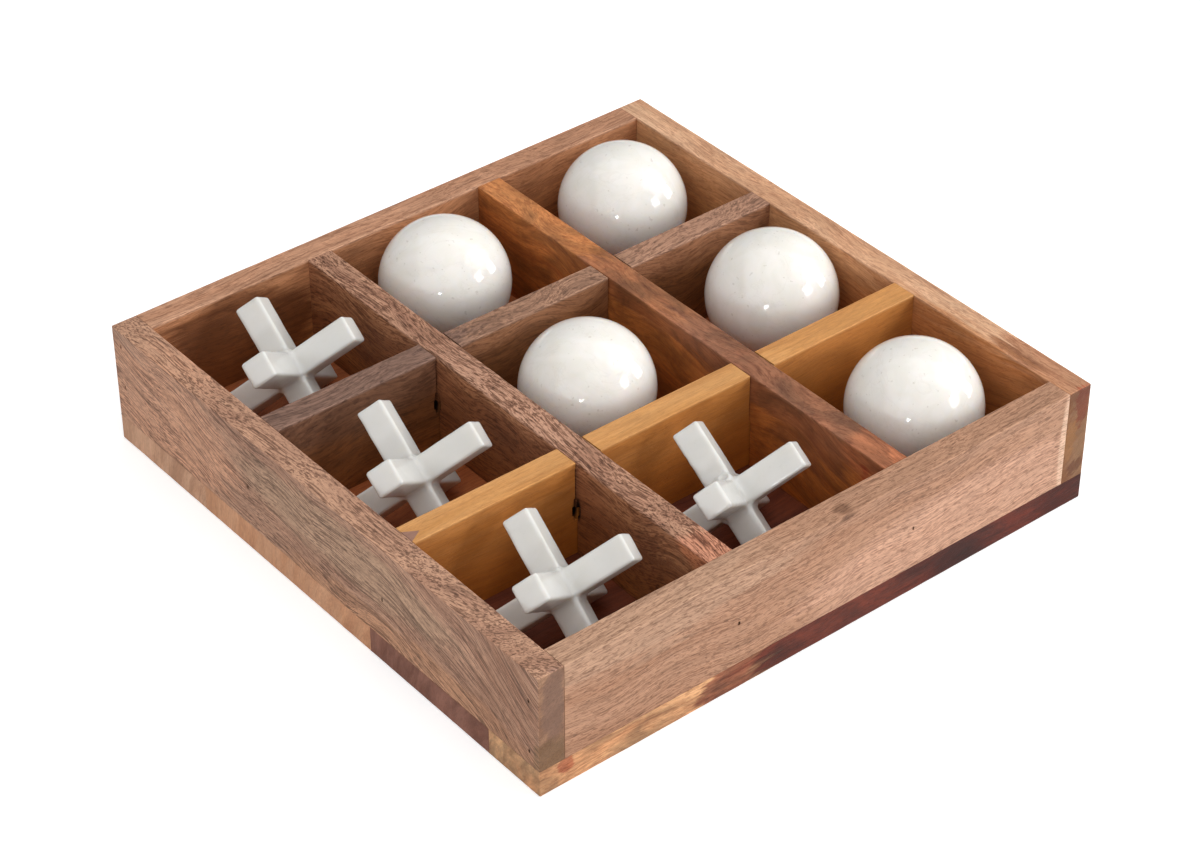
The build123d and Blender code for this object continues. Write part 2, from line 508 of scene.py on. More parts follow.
class Zone:
    """Where the wood of a board changes colour.

    place is its middle and size its half-widths: along the board from its middle, across its width from
    its low side, and through its thickness from its middle. A size of 0 means that the zone doesn't end
    along that axis. strength says how much of the colour shows, and rough how much its border frays. A
    tapered zone narrows to a point along the board, and shows only on its top edge.
    """

    def __init__(self, colour, place, size, strength=1.0, rough=1.0, tapered=False):
        self.colour = paint(*colour)
        self.place = place
        self.scales = tuple(1 / extent if extent else 0.0 for extent in size)
        self.strength = strength
        self.rough = rough
        self.tapered = tapered

    def mask(self, graph, own, grain_noise):
        """1 inside the zone, 0 outside, with a border that frays along the grain."""
        shift = tuple(-middle * scale for middle, scale in zip(self.place, self.scales))
        local = graph.stretch(own, self.scales, shift)
        if self.tapered:
            along, _, across = graph.split(local)
            side = graph.maths("ABSOLUTE", across)
            inside = graph.maths("SUBTRACT", graph.maths("SUBTRACT", 1.0, along), side)
            top = graph.fade(graph.split(own)[1], *TOP_BAND)
            return graph.maths("MULTIPLY", graph.fade(inside, 0.0, 0.1), top)
        distance = graph.length(local)
        frayed = graph.maths("MULTIPLY", graph.maths("SUBTRACT", grain_noise, 0.5), self.rough * FRAYING)
        border = graph.fade(graph.maths("SUBTRACT", distance, frayed), 0.75, 1.15, 1.0, 0.0)
        return graph.maths("MULTIPLY", border, self.strength)


def wood_material(
    name,
    pale,
    deep,
    mark,
    zones,
    *,
    lines,
    hairs,
    dashes,
    pores,
    bands=0.10,
    mottling=0.1,
    end=(0.9, 0.9, 0.9),
    fineness=1.0,
    shade_colour=WALL_FOOT_SHADE,
):
    """Oiled hardwood: growth bands, dark lines, dashes and pores that all follow the board's grain field.

    pale and deep are the colours of its bands, and mark and end multiply them in its dark marks and on its
    end grain. The shade colour multiplies them as painted shade inside the cells, strongest at their foot.
    lines, hairs, dashes, pores and mottling say how strongly each of these shows.
    """
    material, graph, shader = new_material(name)
    grain = graph.field("grain")
    own = graph.field("own")
    # worn edges, end grain, and the painted shade inside the cells
    near_edge, at_end, shade_share = graph.split(graph.field("edge_end_and_shade"))

    figure_size = (FIGURE_ALONG, bands, bands * FIGURE_AROUND)
    hair_size = (HAIR[0], HAIR[1] * fineness, HAIR[2] * fineness)
    dash_size = [size * fineness for size in DASH]
    figure = graph.noise(graph.stretch(grain, figure_size), 5.0, 0.6, 0.4)
    streak = graph.noise(graph.stretch(grain, STREAK, (5, 9, 2)), 3.0, 0.55, 0.3)
    hair = graph.noise(graph.stretch(grain, hair_size, (1, 6, 8)), 1.5, 0.5, 0.3)
    dash = graph.noise(graph.stretch(grain, dash_size, (3, 3, 3)), 1.5, 0.5, 0.5)
    pit = graph.noise(graph.stretch(grain, PORE, (7, 1, 3)), 1.5, 0.6)
    fibre = graph.noise(graph.stretch(grain, FIBRE), 3.0, 0.65)
    mottle = graph.noise(graph.stretch(grain, MOTTLE), 4.0, 0.6, 0.6)

    colour = graph.blend(graph.fade(figure, 0.36, 0.64), paint(*pale), paint(*deep))
    ragged = graph.maths("ADD", graph.maths("MULTIPLY", figure, 0.6), graph.maths("MULTIPLY", streak, 0.4))
    for zone in zones:
        colour = graph.blend(zone.mask(graph, own, ragged), colour, zone.colour)

    clustered = graph.maths("MULTIPLY", graph.maths("SUBTRACT", mottle, 0.5), CLUSTERING)
    calm_end = graph.fade(at_end, 0.0, 1.0, 1.0, CALM_END)
    # marks show less in the painted shade of a cell
    calm_cell = graph.fade(shade_share, 0.0, 1.0, 1.0, CALM_CELL)
    calm = graph.maths("MULTIPLY", calm_end, calm_cell)
    pit_share = graph.fade(pit, 0.54, 0.62)
    marks = (
        (graph.fade(streak, 0.54, 0.66), lines),
        (graph.fade(graph.maths("ADD", hair, clustered), 0.51, 0.59), hairs),
        (graph.fade(graph.maths("ADD", dash, clustered), 0.54, 0.61), dashes),
        (pit_share, pores),
    )
    for share, strength in marks:
        amount = graph.maths("MULTIPLY", graph.maths("MULTIPLY", share, strength), calm)
        colour = graph.blend(amount, colour, mark, "MULTIPLY")

    shade = graph.fade(fibre, 0.25, 0.75, 0.92, 1.08)
    for value, start, finish, low, high in (
        (mottle, 0.25, 0.75, 1 - mottling, 1 + mottling),
        # eased edges lighter: partly wear, partly a painted highlight
        (near_edge, 0.2, 1.0, 1.0, EDGE_WEAR_AND_HIGHLIGHT),
    ):
        shade = graph.maths("MULTIPLY", shade, graph.fade(value, start, finish, low, high))
    tone = graph.add("ShaderNodeCombineXYZ")
    for socket in tone.inputs:
        graph.feed(socket, shade)
    colour = graph.blend(1.0, colour, tone.outputs[0], "MULTIPLY")
    colour = graph.blend(at_end, colour, end, "MULTIPLY")
    # painted shade inside the cells, darker towards their floor
    colour = graph.blend(shade_share, colour, shade_colour, "MULTIPLY")

    height = graph.maths("SUBTRACT", graph.maths("MULTIPLY", fibre, 0.35), pit_share)
    graph.feed(shader.inputs["Base Color"], colour)
    graph.feed(shader.inputs["Normal"], graph.bump(height, 0.00012, 0.5))
    graph.feed(shader.inputs["Roughness"], graph.fade(figure, 0.3, 0.7, 0.50, 0.62))
    graph.feed(shader.inputs["Specular IOR Level"], 0.35)
    return material


# How fine each kind of figure in stone is
CLOUDS = (0.045, 0.06, 0.09)
VEINS = (0.05, 0.03, 0.04)
SPECKS = (0.45, 0.45, 0.45)
POLISH = (0.5, 0.35, 0.6)
VEIN_LEVEL = 0.52  # the level of noise that a vein follows
VEIN_WIDTH = 0.014
SPECK_STRENGTH = 4.0  # how much stronger specks are than veins
GLOW_DEPTH = 0.010  # how far light spreads, in metres


def stone_material(name, body, cloud, vein, veins, polish, relief, glow):
    """Polished marble: soft clouds, thin wandering veins and specks, and light that spreads under it.

    veins says how strongly the colour vein shows, polish how rough the surface is, relief how uneven it
    is in metres, and glow how much light goes under it.
    """
    material, graph, shader = new_material(name)
    place = graph.field("stone")
    clouds = graph.noise(graph.stretch(place, CLOUDS), 3.0, 0.55, 1.0)
    wander = graph.noise(graph.stretch(place, VEINS, (4, 4, 4)), 5.0, 0.62, 1.0)
    dots = graph.noise(graph.stretch(place, SPECKS), 2.0, 0.5)
    fine = graph.noise(graph.stretch(place, POLISH), 4.0, 0.65)
    from_line = graph.maths("ABSOLUTE", graph.maths("SUBTRACT", wander, VEIN_LEVEL))
    colour = graph.blend(graph.fade(clouds, 0.35, 0.68), body, cloud)
    line_share = graph.maths("MULTIPLY", graph.fade(from_line, 0.0, VEIN_WIDTH, 1.0, 0.0), veins)
    colour = graph.blend(line_share, colour, vein)
    speck_share = graph.maths("MULTIPLY", graph.fade(dots, 0.67, 0.73), veins * SPECK_STRENGTH)
    colour = graph.blend(speck_share, colour, vein)
    graph.feed(shader.inputs["Base Color"], colour)
    graph.feed(shader.inputs["Roughness"], graph.fade(fine, 0.3, 0.75, polish, polish * 1.6))
    graph.feed(shader.inputs["Normal"], graph.bump(fine, relief, 0.3))
    graph.feed(shader.inputs["Subsurface Weight"], glow)
    graph.feed(shader.inputs["Subsurface Scale"], GLOW_DEPTH)
    shader.inputs["Subsurface Radius"].default_value = (1.0, 0.8, 0.6)
    graph.feed(shader.inputs["Specular IOR Level"], 0.5)
    return material


def steel_material():
    """Dark drawn wire with rust in its scratches."""
    material, graph, shader = new_material("brad_steel")
    place = graph.add("ShaderNodeTexCoord").outputs["Object"]
    scratches = graph.noise(graph.stretch(place, (900, 900, 2600)), 4.0, 0.6)
    rust = graph.noise(graph.stretch(place, (700, 700, 700)), 3.0, 0.6)
    colour = graph.blend(graph.fade(scratches, 0.3, 0.7), paint(52, 42, 38), paint(86, 74, 68))
    colour = graph.blend(graph.fade(rust, 0.5, 0.7, 0.0, 0.7), colour, paint(84, 50, 32))
    graph.feed(shader.inputs["Base Color"], colour)
    graph.feed(shader.inputs["Metallic"], 0.6)
    graph.feed(shader.inputs["Roughness"], graph.fade(scratches, 0.3, 0.7, 0.4, 0.65))
    graph.feed(shader.inputs["Normal"], graph.bump(scratches, 0.00003, 0.5))
    return material


# ---------------------------------------------------------------------------------------------------
# Wood of each board

TRAY = frame["record"]["behaviour"]["joints"][0]["parent"]
BODY_OF = {node: body for body, nodes in frame["record"]["behaviour"]["bodies"].items() for node in nodes}
BRAD_NODES = [node for node in frame["nodes"] if node.endswith("_brads")]
BRADS = [box for node in BRAD_NODES for box in solid_boxes(node)]

# What the dark marks in each kind of wood multiply its colour by
GREY_MARK = (0.38, 0.33, 0.31)
BROWN_MARK = (0.36, 0.28, 0.23)
RED_MARK = (0.42, 0.25, 0.18)
GAP_SHADE = (26, 15, 10)  # painted shade in the splintered gap of a lap joint

WOODS = {
    "left_wall": wood_material(
        "left_wall_wood", (193, 149, 121), (170, 128, 104), GREY_MARK, bands=0.13,
        lines=0.45, hairs=0.85, dashes=0.5, pores=0.4, end=(0.63, 0.60, 0.54), fineness=1.7,
        zones=(
            Zone((190, 157, 128), (-20, 30, 0), (80, 13, 0), 0.6),
            Zone((196, 145, 110), (-70, 1, 0), (90, 11, 0), 0.8),
            Zone((218, 163, 130), (110, 22, 0), (55, 28, 0), 0.8),
            Zone((158, 114, 88), (-132, 20, 0), (22, 30, 0), 0.45),
            # Its front end: greyer above and yellower at the foot
            Zone((158, 121, 104), (-150, 32, 1), (4, 20, 6), 0.9),
            Zone((142, 108, 78), (-150, 4, 0), (4, 10, 0), 0.8),
        ),
    ),
    "front_wall": wood_material(
        "front_wall_wood", (184, 139, 110), (170, 125, 97), BROWN_MARK, bands=0.09,
        lines=0.25, hairs=0.36, dashes=0.48, pores=0.4, fineness=1.3,
        zones=(
            Zone((190, 152, 125), (-90, 44, 0), (75, 14, 0), 0.75, 1.6),
            Zone((176, 134, 107), (60, 47, 0), (90, 6, 0), 0.75, 1.6),
            Zone((214, 167, 140), (80, 12, 0), (100, 22, 0), 0.7),
            # The pale strip at its right end, and a small dark mark on its top edge
            Zone((230, 192, 164), (137, 20, -6), (3.4, 30, 3), 0.8, 0.3),
            Zone((120, 84, 62), (10, 46.5, -2), (6, 2.2, 5), 0.8),
        ),
    ),
    "right_wall": wood_material(
        "right_wall_wood", (216, 174, 140), (202, 154, 119), RED_MARK, bands=0.08,
        lines=0.3, hairs=0.3, dashes=0.3, pores=0.3, mottling=0.14, end=(0.345, 0.275, 0.195),
        zones=(
            Zone((176, 124, 92), (-132, 48, 0), (30, 8, 0), 0.8, 2.4),
            Zone((128, 78, 50), (-112, 46, -3), (24, 5, 4), 0.7, 3.0),
            Zone((192, 132, 86), (-90, 10, -6), (90, 44, 8), 0.8),
            # Its front end: red, pale and dark patches
            Zone((186, 96, 66), (-150, 40, 2), (3, 11, 4), 0.8, 3.0),
            Zone((232, 178, 124), (-150, 20, -4), (3, 12, 4), 0.8, 3.0),
            Zone((150, 96, 66), (-150, 6, 1), (3, 4, 5), 0.7, 3.0),
        ),
    ),
    "back_wall": wood_material(
        "back_wall_wood", (206, 157, 126), (182, 133, 103), BROWN_MARK, bands=0.08,
        lines=0.4, hairs=0.35, dashes=0.4, pores=0.3, mottling=0.14,
        zones=(Zone((130, 88, 62), (-95, 20, -6), (45, 30, 8), 0.9),),
    ),
    "long_divider_left": wood_material(
        "long_divider_left_wood", (186, 141, 114), (158, 115, 92), BROWN_MARK, bands=0.11,
        lines=0.4, hairs=0.85, dashes=0.8, pores=0.5, fineness=1.3,
        zones=(
            Zone((206, 142, 112), (-134, 47, 0), (16, 8, 0), 0.9),
            Zone((197, 152, 126), (0, 48, 0), (45, 4, 0), 0.7),
            Zone((140, 96, 73), (0, 20, 0), (160, 24, 0), 0.6),
            # painted shade in the splintered gap of the lap joint
            Zone(GAP_SHADE, (-55.4, 23.6, -3), (2.2, 8, 5), 1.0, 0.0),
        ),
    ),
    "long_divider_right": wood_material(
        "long_divider_right_wood", (189, 125, 76), (165, 99, 54), RED_MARK, bands=0.07,
        # its cells get a deeper painted shade
        lines=0.35, hairs=0.3, dashes=0.3, pores=0.3, mottling=0.45, shade_colour=(0.74, 0.50, 0.22),
        zones=(
            Zone((132, 90, 68), (-60, 46, 0), (62, 14, 0), 0.9, 1.6),
            Zone((144, 98, 74), (15, 46, 0), (50, 10, 0), 0.6, 2.0),
            Zone((178, 112, 78), (-130, 46, 0), (17, 12, 0), 0.9),
            Zone((186, 122, 70), (-118, 20, -6), (20, 14, 4), 0.6, 2.4),
            Zone((156, 104, 76), (-86, 32, -6), (26, 16, 4), 0.7, 2.4),
            Zone((150, 56, 34), (-126, 18, -6), (3, 16, 4), 0.6, 3.0),
        ),
    ),
    "cross_divider_front": wood_material(
        "cross_divider_front_wood", (204, 149, 92), (190, 131, 71), RED_MARK, bands=0.07,
        lines=0.18, hairs=0.12, dashes=0.12, pores=0.15,
        zones=(
            Zone((196, 138, 80), (105, 40, 0), (55, 30, 0), 0.8),
            Zone((196, 134, 72), (0, 12, 0), (150, 18, 0), 0.5),
            # painted shade in the splintered gap of the lap joint
            Zone(GAP_SHADE, (-55.2, 23.6, -1.5), (2.4, 8, 5.8), 1.0, 0.0),
            # The wedge-shaped stain at its left end
            Zone((150, 112, 96), (-137.3, 0, -1.2), (6.8, 0, 4.0), tapered=True),
        ),
    ),
    "cross_divider_back": wood_material(
        "cross_divider_back_wood", (174, 132, 106), (134, 100, 80), GREY_MARK, bands=0.12,
        lines=0.5, hairs=0.5, dashes=0.55, pores=0.4,
        zones=(
            Zone((136, 96, 64), (0, 16, 0), (160, 24, 0), 0.6),
            Zone((124, 96, 84), (-90, 46, 0), (60, 20, 0), 0.8),
            Zone((172, 130, 106), (105, 46, 0), (60, 10, 0), 0.8),
            # painted shade in the splintered gap of the lap joint
            Zone(GAP_SHADE, (-55.2, 23.6, -1.5), (2.4, 8, 5.8), 1.0, 0.0),
        ),
    ),
}
# The front plank is sapwood at its left end, and dark heartwood to the right of a swirl
PLANK_ZONES = {
    "base_plank_1": (
        Zone((77, 27, 9), (62, 0, 0), (118, 0, 0), 1.0, 1.2),
        Zone((136, 82, 58), (-54, 0, 0), (13, 0, 0), 0.9, 2.6),
        Zone((118, 56, 38), (10, 0, 0), (40, 0, 0), 0.5, 3.0),
        Zone((112, 50, 34), (104, 0, 0), (18, 0, 0), 0.45, 3.0),
        Zone((66, 28, 20), (78, 0, 0), (14, 0, 0), 0.5, 3.0),
        Zone((160, 88, 58), (-137, 0, 4), (3.5, 0, 4), 0.8, 3.0),
    ),
}
# The pale and deep colour of each plank, and how mottled it is
PLANK_WOODS = {
    "base_plank_1": ((200, 154, 111), (187, 136, 96), 0.5),
    "base_plank_2": ((150, 100, 82), (124, 80, 64), 0.10),
    "base_plank_3": ((150, 100, 82), (122, 78, 62), 0.10),
    "base_plank_4": ((214, 158, 118), (192, 136, 100), 0.10),
    "base_plank_5": ((216, 162, 124), (204, 148, 110), 0.08),
    "base_plank_6": ((216, 168, 135), (192, 145, 114), 0.10),
}
for plank_node, (plank_pale, plank_deep, plank_mottling) in PLANK_WOODS.items():
    WOODS[plank_node] = wood_material(
        f"{plank_node}_wood", plank_pale, plank_deep, RED_MARK, PLANK_ZONES.get(plank_node, ()),
        # the floors of the cells get a painted shade
        lines=0.4, hairs=0.3, dashes=0.3, pores=0.3, mottling=plank_mottling, shade_colour=CELL_FLOOR_SHADE,
    )

# ---------------------------------------------------------------------------------------------------
# The tray

WALL_EASED = ((Z, HIGH), (X, LOW), (X, HIGH), (Y, LOW), (Y, HIGH))
FRONT_EASED = ((Z, HIGH), (Y, LOW), (Y, HIGH))
LENGTHWISE_EASED = ((Z, HIGH), (X, LOW), (X, HIGH))


def base_eased(node):
    """The planks of the base are eased only where they are the outside of the tray."""
    low, high = box_mm(node)
    sides = [(X, LOW), (X, HIGH), (Z, LOW)]
    if abs(low[Y] - tray_low[Y]) < CLOSE:
        sides.append((Y, LOW))
    if abs(high[Y] - tray_high[Y]) < CLOSE:
        sides.append((Y, HIGH))
    return sides


def notches(node, others, lap_side):
    """The half-lap notches that the crossing boards need in a divider."""
    low, high = box_mm(node)
    lap = (low[Z] + high[Z]) / 2
    boxes = []
    for other in others:
        other_low, other_high = box_mm(other)
        notch_low, notch_high = other_low.copy(), other_high.copy()
        crossing = X if high[X] - low[X] > high[Y] - low[Y] else Y
        notch_low[crossing] -= LAP_CLEARANCE
        notch_high[crossing] += LAP_CLEARANCE
        if lap_side == HIGH:
            notch_low[Z], notch_high[Z] = lap, high[Z] + OUTSIDE
        else:
            notch_low[Z], notch_high[Z] = low[Z] - OUTSIDE, lap
        boxes.append((notch_low, notch_high))
    return boxes


def lap_chips(long_node, cross_node):
    """The splintered hole where the saw overran a half-lap, in the corner that two dividers make."""
    long_low, _ = box_mm(long_node)
    cross_low, _ = box_mm(cross_node)
    corner = np.array((long_low[X], cross_low[Y], (tray_floor + tray_wall_top) / 2))
    in_cross = [
        (corner + (-LAP_CLEARANCE - wide, -OUTSIDE, low), corner + (OVERLAP, deep, high))
        for wide, deep, low, high in LAP_SPLINTERS
    ]
    in_long = [
        (corner + (-OUTSIDE, -wide, low), corner + (deep, OVERLAP, high))
        for wide, deep, low, high in LAP_SPLINTERS[1:]
    ]
    return in_cross, in_long


LONG = ("long_divider_left", "long_divider_right")
CROSS = ("cross_divider_front", "cross_divider_back")
# How wide and deep each splinter is, and its lowest and highest point from the level of the lap
LAP_SPLINTERS = (
    (0.3, 3.0, 5.5, 21.0),
    (1.0, 6.0, 1.5, 5.5),
    (1.8, 7.0, -3.6, 1.5),
    (0.9, 5.0, -6.2, -3.6),
)
FRONT_CHIPS, LONG_CHIPS = lap_chips("long_divider_left", "cross_divider_front")
BACK_CHIPS, LONG_BACK_CHIPS = lap_chips("long_divider_left", "cross_divider_back")

BOARDS = [
    Board(
        "left_wall", Y, Z,
        Growth(
            (-12, 46),
            drift=(
                (-150, -60), (-115, -33), (-88, -22), (-55, -15), (0, -13), (40, -11), (100, 1), (150, 10),
            ),
            sway=(1.2, 70), curl=4.0,
        ),
        WALL_EASED,
    ),
    Board(
        "front_wall", X, Z,
        Growth((80, 60), drift=((-150, 4), (0, 0), (150, 8)), sway=(0.6, 90), curl=2.5),
        FRONT_EASED,
    ),
    Board(
        "right_wall", Y, Z,
        Growth((70, -50), drift=((-150, 12), (-60, 0), (150, -3)), sway=(1.0, 110), curl=4.0),
        WALL_EASED,
    ),
    Board(
        "back_wall", X, Z,
        Growth((30, 40), drift=((-150, 5), (0, 0), (150, 6)), sway=(1.4, 80), curl=6.0),
        FRONT_EASED,
    ),
    Board(
        "long_divider_left", Y, Z,
        Growth((24, 30), drift=((-150, 10), (-80, 0), (0, 6), (150, -6)), sway=(1.6, 60), curl=6.0),
        LENGTHWISE_EASED, notches("long_divider_left", CROSS, LOW) + LONG_CHIPS + LONG_BACK_CHIPS,
    ),
    Board(
        "long_divider_right", Y, Z,
        Growth((-20, 34), drift=((-150, -12), (-80, 0), (150, 4)), sway=(1.0, 80), curl=5.0),
        LENGTHWISE_EASED, notches("long_divider_right", CROSS, LOW),
    ),
    Board(
        "cross_divider_front", X, Z,
        Growth((70, 60), drift=((-150, 0), (150, 6)), sway=(0.6, 120), curl=2.0),
        FRONT_EASED, notches("cross_divider_front", LONG, HIGH) + FRONT_CHIPS,
    ),
    Board(
        "cross_divider_back", X, Z,
        Growth((18, 26), drift=((-150, 6), (0, 0), (150, -6)), sway=(2.0, 50), curl=7.0),
        FRONT_EASED, notches("cross_divider_back", LONG, HIGH) + BACK_CHIPS,
    ),
]
for plank_number, plank_node in enumerate(PLANK_WOODS):
    plank_growth = Growth((-20 - 11 * plank_number, -24), sway=(1.5, 90), curl=5.0)
    BOARDS.append(Board(plank_node, X, Y, plank_growth, base_eased(plank_node)))

for board in BOARDS:
    build_board(board)

BRAD_STEEL = steel_material()
for node in BRAD_NODES:
    slots = frame["nodes"][node].data.materials
    slots.clear()
    slots.append(BRAD_STEEL)

# ---------------------------------------------------------------------------------------------------
# Balls

BALL_STONE = stone_material(
    "ball_stone", paint(231, 228, 223), paint(226, 223, 216), paint(150, 138, 122),
    veins=0.06, polish=0.07, relief=0.000002, glow=0.6,
)
JACK_STONE = stone_material(
    "jack_stone", paint(212, 211, 207), paint(208, 207, 202), paint(188, 186, 178),
    veins=0.03, polish=0.16, relief=0.000008, glow=0.3,
)
BALL_UNEVEN = 0.05  # how far a ball's surface wanders
BALL_WAVE = 17.0  # and over what length
PITS = 9
PIT_DEPTH = 0.05
PIT_SIZES = (0.8, 1.5)


def build_ball(node, seed):
    """A turned and polished ball: a sphere whose surface wanders slightly and holds a few tiny pits."""
    low, high = box_mm(node)
    centre, radius = (low + high) / 2, (high - low)[X] / 2
    line = np.tan(np.linspace(-1, 1, BALL_CELLS + 1) * math.pi / 4)  # so that all faces come out alike
    points, quads = shell([line] * 3, np.ones([BALL_CELLS] * 3, dtype=bool))
    directions = points / np.linalg.norm(points, axis=1, keepdims=True)
    draw = random.Random(seed)
    depth = BALL_UNEVEN * (0.5 + 0.5 * waves(directions * radius, BALL_WAVE, seed))
    for _ in range(PITS):
        pit = np.array([draw.gauss(0, 1) for _ in range(3)])
        pit /= np.linalg.norm(pit)
        away = np.linalg.norm(directions - pit, axis=1) * radius
        depth += PIT_DEPTH * np.exp(-((away / draw.uniform(*PIT_SIZES)) ** 2))
    turned = np.array(Euler([draw.uniform(0, 6) for _ in range(3)]).to_matrix())
    stone = directions @ turned * radius + seed * BALLS_APART
    points = centre + directions * (radius - depth)[:, None]
    made = mesh_object(f"{node}_stone", points, quads, {"stone": stone}, BALL_STONE, NO_CREASE)
    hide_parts(node)
    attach(made, BODY_OF[node])


# ---------------------------------------------------------------------------------------------------
# Jacks

# One jack has more glue on it than the others, and more chips
MESSY = "jack_front_middle"
# A blob of glue: its place, height and how fast it falls away, and the place and depth of its hollow
MUCH_GLUE = ((-2.4, 1.6, 0.0), 2.8, 0.2, (-3.5, 2.0, 0.0), 3.2)
LITTLE_GLUE = ((-1.4, 0.8, 0.0), 1.2, 0.3, (-2.6, 1.5, 0.0), 0.7)
HOLLOW_SIZE = 1.5  # radius of that hollow
GLUE_REACH = 7.2  # how far the glue has run down from the corner that it fills
# How far glue spreads in the inner corners
WIDE_FILLET = 3.2
SMALL_FILLET = 2.4
FILLET_WAVE = 5.0
FILLET_TAPER = 1.2  # length over which a fillet ends
# The level of noise above which an edge is chipped
OFTEN_CHIPPED = 0.12
SELDOM_CHIPPED = 0.42
CHIP_SIZE = 2.4
CHIP_DEPTH = 0.9
JACK_TIP = 2.0  # length of the end of an arm that its width is read from
JACK_EASED = 1.3  # radius of a jack's edges
JACK_EDGE_WAVE = 7.0
JACK_EASED_OVER = 1.5  # length from a jack's core over which they reach that radius


def jack_axes(node):
    """Centre, the three arm directions as rows, half the span and half the width of a jack's bars."""
    mesh = frame["nodes"][node].data
    places = np.array([vertex.co for vertex in mesh.vertices]) / MM
    centre = (places.min(axis=0) + places.max(axis=0)) / 2
    faces = sorted(mesh.polygons, key=lambda face: -face.area)
    first = np.array(faces[0].normal)
    second = next(np.array(face.normal) for face in faces if abs(np.dot(face.normal, first)) < 0.01)
    axes = np.array([first, second, np.cross(first, second)])
    own = (places - centre) @ axes.T
    half_span = own[:, 0].max()
    near_tip = own[:, 0] > half_span - JACK_TIP
    half_width = np.abs(own[near_tip][:, 1]).max()
    return centre, axes, half_span, half_width


def fillet(own, half_width, radius):
    """Points beside the inner corner where two arms meet are moved out onto a small hollow of glue."""
    for one, two in ((0, 1), (1, 2), (2, 0)):
        third = 3 - one - two
        beyond = np.abs(own[:, [one, two]]) - half_width
        inside = (beyond > -ROUNDING).all(axis=1) & (beyond < radius[:, None]).all(axis=1)
        inside &= np.abs(own[:, third]) < half_width + ROUNDING
        taper = np.clip((half_width - np.abs(own[:, third])) / FILLET_TAPER, 0, 1)
        reach = np.linalg.norm(radius[:, None] - beyond, axis=1)
        pull = np.clip((reach - radius) / np.maximum(reach, TINY), 0, 1) * taper
        shift = (radius[:, None] - beyond) * pull[:, None] * np.sign(own[:, [one, two]])
        own[np.ix_(np.flatnonzero(inside), [one, two])] += shift[inside]
    return own


def ease_bars(own, half_span, half_width, radius):
    """Points beside the outer edges of each bar are pulled in onto rounded edges."""
    for axis in range(3):
        on_arm = np.abs(own[:, axis]) > half_width + ROUNDING
        limits = np.full(3, half_width)
        limits[axis] = half_span
        taper = np.clip((np.abs(own[:, axis]) - half_width) / JACK_EASED_OVER, 0, 1) * radius
        eased = taper[:, None]
        core = np.clip(own, eased - limits, limits - eased)
        away = own - core
        reach = np.maximum(np.linalg.norm(away, axis=1, keepdims=True), TINY)
        beside = on_arm & ((np.abs(away) > LEAST_MOVE).sum(axis=1) > 1)
        own = np.where(beside[:, None], core + away * eased / reach, own)
    return own


def glue_blob(own, axes, half_width, blob):
    """Glue fills the corner where the three raised arms meet, with a hollow where it has shrunk."""
    place, height, fall, hollow, depth = blob
    up = axes[:, Z]
    from_corner = own - np.sign(up) * half_width
    rise = from_corner @ up
    flat = from_corner - rise[:, None] * up
    from_place = np.linalg.norm(flat - axes @ place, axis=1)
    from_hollow = np.linalg.norm(flat - axes @ hollow, axis=1)
    surface = height - fall * from_place**2 - depth * np.exp(-((from_hollow / HOLLOW_SIZE) ** 2))
    glued = (rise > -GLUE_REACH) & (surface > rise)
    return own + np.where(glued, surface - rise, 0)[:, None] * up


def build_jack(node, seed):
    """A jack sawn from stone bars: rounded, chipped edges and glue in its inner corners."""
    centre, axes, half_span, half_width = jack_axes(node)
    line = cuts((-half_span, -half_width, half_width, half_span), JACK_STEP)
    middle = (line[:-1] + line[1:]) / 2
    slim = np.abs(middle) < half_width
    in_bar = slim[:, None] & slim[None, :]
    everywhere = np.ones(len(middle), dtype=bool)
    filled = (
        (everywhere[:, None, None] & in_bar[None, :, :])
        | (everywhere[None, :, None] & in_bar[:, None, :])
        | (everywhere[None, None, :] & in_bar[:, :, None])
    )
    points, quads = shell([line] * 3, filled)
    stone = points + seed * JACKS_APART
    messy = node == MESSY
    chipping = np.clip(waves(points, CHIP_SIZE, seed) - (OFTEN_CHIPPED if messy else SELDOM_CHIPPED), 0, 1)
    radius = JACK_EASED * (1 + WANDER * waves(points, JACK_EDGE_WAVE, seed)) + CHIP_DEPTH * chipping
    eased = ease_bars(points, half_span, half_width, radius)
    spread = (WIDE_FILLET if messy else SMALL_FILLET) * (1 + WANDER * waves(points, FILLET_WAVE, seed + 1))
    filled_in = fillet(eased, half_width, spread)
    glued = glue_blob(filled_in, axes, half_width, MUCH_GLUE if messy else LITTLE_GLUE)
    surface = centre + glued @ axes
    made = mesh_object(f"{node}_stone", surface, quads, {"stone": stone}, JACK_STONE, JACK_CREASE)
    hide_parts(node)
    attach(made, BODY_OF[node])


for number, node in enumerate(sorted(node for node in frame["nodes"] if node.startswith("ball_")), 1):
    build_ball(node, number)
for number, node in enumerate(sorted(node for node in frame["nodes"] if node.startswith("jack_")), 11):
    build_jack(node, number)

# ---------------------------------------------------------------------------------------------------
# Floor, light and camera, in metres

FLOOR_REACH = 6.0
FLOOR_GAP = 0.0002  # keeps the floor from touching the underside
FLOOR_GLOW = 0.42  # what lifts the floor to white where the camera sees it
WORLD_STRENGTH = 0.25
CAMERA_PLACE = (-0.7162, -0.8813, 0.8793)
CAMERA_TARGET = (-0.0056, -0.0100, 0.0300)
CAMERA_LENS = 97.5  # millimetres
CAMERA_SENSOR = 36.0
